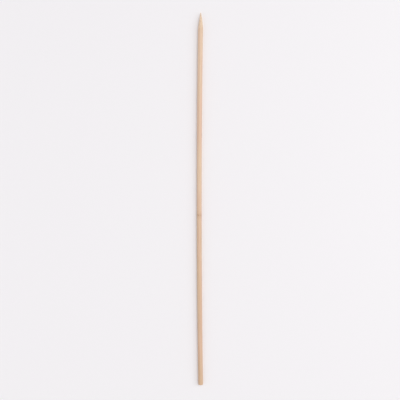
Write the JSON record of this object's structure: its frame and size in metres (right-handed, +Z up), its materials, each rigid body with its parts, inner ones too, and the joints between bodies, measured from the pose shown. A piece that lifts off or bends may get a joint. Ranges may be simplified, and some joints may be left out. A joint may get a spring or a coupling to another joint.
{
  "type": "skewer",
  "caption": "Long round bamboo rod with one ground point and one square sawn end, pushed through food to hold it together over a grill.",
  "frame": {"origin": "on the surface that the skewer lies on, under the middle of its bounding box", "axes": "+X along the skewer from the sawn end to the point, +Z up, +Y completes a right-handed set and is the side that the middle of the slight bow stands out to"},
  "size_m": [0.3, 0.0052, 0.004],
  "materials": {
    "bamboo": "bare bamboo, drum polished, fine straight grain"
  },
  "bodies": {
    "root": {"skewer": "bamboo"}
  },
  "joints": []
}
